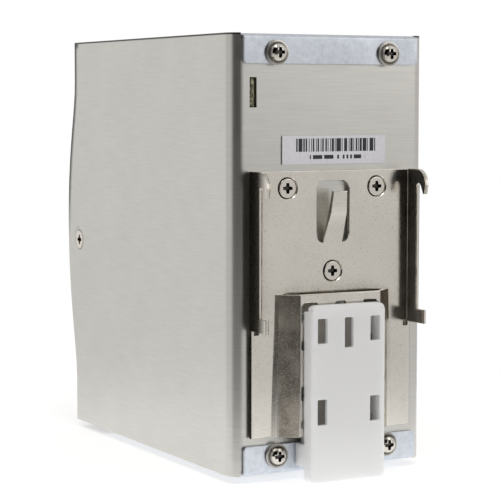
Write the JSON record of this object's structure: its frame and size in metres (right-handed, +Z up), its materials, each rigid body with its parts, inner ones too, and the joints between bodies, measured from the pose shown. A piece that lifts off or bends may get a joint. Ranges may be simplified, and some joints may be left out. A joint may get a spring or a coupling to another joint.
{
  "type": "din rail power supply",
  "caption": "Switched-mode power supply in a folded metal case, clipped to a 35 mm rail by hooks and a sprung latch, with screw terminals in its front.",
  "frame": {"origin": "middle of the rail seat: halfway between the flanges, in the plane the rail's lips rest on, at the height of the rail's centre line", "axes": "+Y out of the back towards the rail, +Z up with the unit on a level rail, +X to the right seen from the front"},
  "size_m": [0.064, 0.1261, 0.1265],
  "materials": {
    "brushed_aluminium": "fine brushed, satin",
    "zinc_plate": "bright zinc plate, faintly blue",
    "nickel_plate": "nickel plate, semi-gloss, warm",
    "screw_nickel": "nickel plated, bright",
    "white_plastic": "moulded, satin white",
    "spring_steel": "drawn wire",
    "label_paper": "printed paper label, matte",
    "panel_plastic": "fine textured dark grey moulding",
    "terminal_plastic": "moulded, satin green",
    "terminal_steel": "zinc plated steel",
    "light_lens": "clear tinted lens",
    "adjuster_blue": "moulded, satin blue",
    "board_laminate": "cream laminate board",
    "nylon": "natural nylon",
    "insulation_film": "thin polyester sheet",
    "ferrite": "sintered, matt",
    "winding_tape": "yellow tape over copper wire",
    "heat_sink_aluminium": "extruded, plain",
    "capacitor_sleeve": "shrunk plastic sleeve",
    "component_black": "moulded epoxy",
    "film_yellow": "moulded box, yellow",
    "fuse_ceramic": "glazed tube"
  },
  "bodies": {
    "housing": {"case_shell": "brushed_aluminium", "top_cover": "zinc_plate", "bottom_cover": "zinc_plate", "front_panel": "panel_plastic", "din_bracket": "nickel_plate", "latch_spring": "spring_steel", "serial_label": "label_paper", "status_light": "light_lens", "adjuster_body": "adjuster_blue", "main_board": "board_laminate", "output_board": "board_laminate", "input_board": "board_laminate", "insulation_film": "insulation_film", "transformer_core": "ferrite", "transformer_winding": "winding_tape", "fuse": "fuse_ceramic", "input_film_capacitor": "film_yellow", "input_choke": "winding_tape", "output_choke": "winding_tape", "bridge_rectifier": "component_black", "bulk_capacitor": "capacitor_sleeve", "primary_heat_sink": "heat_sink_aluminium", "secondary_heat_sink": "heat_sink_aluminium", "power_transistor": "component_black", "output_rectifier": "component_black", "cover_screw_1": "screw_nickel", "board_support_1": "nylon", "cover_screw_2": "screw_nickel", "board_support_2": "nylon", "cover_screw_3": "screw_nickel", "board_support_3": "nylon", "cover_screw_4": "screw_nickel", "board_support_4": "nylon", "bracket_screw_1": "screw_nickel", "output_capacitor_1": "capacitor_sleeve", "bracket_screw_2": "screw_nickel", "output_capacitor_2": "capacitor_sleeve", "bracket_screw_3": "screw_nickel", "output_capacitor_3": "capacitor_sleeve", "side_screw_left": "screw_nickel", "side_screw_right": "screw_nickel", "output_terminal_block": "terminal_plastic", "input_terminal_block": "terminal_plastic"},
    "latch": {"rail_latch": "white_plastic"},
    "adjuster": {"adjuster_rotor": "nylon"},
    "output_screw_1": {"output_terminal_screw_1": "terminal_steel"},
    "output_clamp_1": {"output_wire_clamp_1": "terminal_steel"},
    "output_screw_2": {"output_terminal_screw_2": "terminal_steel"},
    "output_clamp_2": {"output_wire_clamp_2": "terminal_steel"},
    "output_screw_3": {"output_terminal_screw_3": "terminal_steel"},
    "output_clamp_3": {"output_wire_clamp_3": "terminal_steel"},
    "output_screw_4": {"output_terminal_screw_4": "terminal_steel"},
    "output_clamp_4": {"output_wire_clamp_4": "terminal_steel"},
    "input_screw_1": {"input_terminal_screw_1": "terminal_steel"},
    "input_clamp_1": {"input_wire_clamp_1": "terminal_steel"},
    "input_screw_2": {"input_terminal_screw_2": "terminal_steel"},
    "input_clamp_2": {"input_wire_clamp_2": "terminal_steel"},
    "input_screw_3": {"input_terminal_screw_3": "terminal_steel"},
    "input_clamp_3": {"input_wire_clamp_3": "terminal_steel"}
  },
  "joints": [
    {"name": "latch_slide", "type": "slide", "parent": "housing", "child": "latch", "axis": [0, 0, -1], "range_m": [0, 0.0025], "stiffness_N_per_m": 900, "springref_m": -0.004, "deforming": ["latch_spring"]},
    {"name": "adjuster_turn", "type": "hinge", "parent": "housing", "child": "adjuster", "pos_m": [0.014, -0.111, 0.0325], "axis": [0, 1, 0], "range_deg": [-135, 135]},
    {"name": "output_screw_1_turn", "type": "hinge", "parent": "housing", "child": "output_screw_1", "pos_m": [-0.01425, -0.11, 0.0477], "axis": [0, 1, 0], "range_deg": [0, 1500]},
    {"name": "output_clamp_1_travel", "type": "slide", "parent": "housing", "child": "output_clamp_1", "axis": [0, -1, 0], "range_m": [0, 0.0025]},
    {"name": "output_screw_2_turn", "type": "hinge", "parent": "housing", "child": "output_screw_2", "pos_m": [-0.00475, -0.11, 0.0477], "axis": [0, 1, 0], "range_deg": [0, 1500]},
    {"name": "output_clamp_2_travel", "type": "slide", "parent": "housing", "child": "output_clamp_2", "axis": [0, -1, 0], "range_m": [0, 0.0025]},
    {"name": "output_screw_3_turn", "type": "hinge", "parent": "housing", "child": "output_screw_3", "pos_m": [0.00475, -0.11, 0.0477], "axis": [0, 1, 0], "range_deg": [0, 1500]},
    {"name": "output_clamp_3_travel", "type": "slide", "parent": "housing", "child": "output_clamp_3", "axis": [0, -1, 0], "range_m": [0, 0.0025]},
    {"name": "output_screw_4_turn", "type": "hinge", "parent": "housing", "child": "output_screw_4", "pos_m": [0.01425, -0.11, 0.0477], "axis": [0, 1, 0], "range_deg": [0, 1500]},
    {"name": "output_clamp_4_travel", "type": "slide", "parent": "housing", "child": "output_clamp_4", "axis": [0, -1, 0], "range_m": [0, 0.0025]},
    {"name": "input_screw_1_turn", "type": "hinge", "parent": "housing", "child": "input_screw_1", "pos_m": [-0.0095, -0.11, -0.0522], "axis": [0, 1, 0], "range_deg": [0, 1500]},
    {"name": "input_clamp_1_travel", "type": "slide", "parent": "housing", "child": "input_clamp_1", "axis": [0, -1, 0], "range_m": [0, 0.0025]},
    {"name": "input_screw_2_turn", "type": "hinge", "parent": "housing", "child": "input_screw_2", "pos_m": [0, -0.11, -0.0522], "axis": [0, 1, 0], "range_deg": [0, 1500]},
    {"name": "input_clamp_2_travel", "type": "slide", "parent": "housing", "child": "input_clamp_2", "axis": [0, -1, 0], "range_m": [0, 0.0025]},
    {"name": "input_screw_3_turn", "type": "hinge", "parent": "housing", "child": "input_screw_3", "pos_m": [0.0095, -0.11, -0.0522], "axis": [0, 1, 0], "range_deg": [0, 1500]},
    {"name": "input_clamp_3_travel", "type": "slide", "parent": "housing", "child": "input_clamp_3", "axis": [0, -1, 0], "range_m": [0, 0.0025]}
  ],
  "couplings": [
    {"joint": "output_screw_1_turn", "follows": "output_clamp_1_travel", "rad_per_m": 10472},
    {"joint": "output_screw_2_turn", "follows": "output_clamp_2_travel", "rad_per_m": 10472},
    {"joint": "output_screw_3_turn", "follows": "output_clamp_3_travel", "rad_per_m": 10472},
    {"joint": "output_screw_4_turn", "follows": "output_clamp_4_travel", "rad_per_m": 10472},
    {"joint": "input_screw_1_turn", "follows": "input_clamp_1_travel", "rad_per_m": 10472},
    {"joint": "input_screw_2_turn", "follows": "input_clamp_2_travel", "rad_per_m": 10472},
    {"joint": "input_screw_3_turn", "follows": "input_clamp_3_travel", "rad_per_m": 10472}
  ]
}
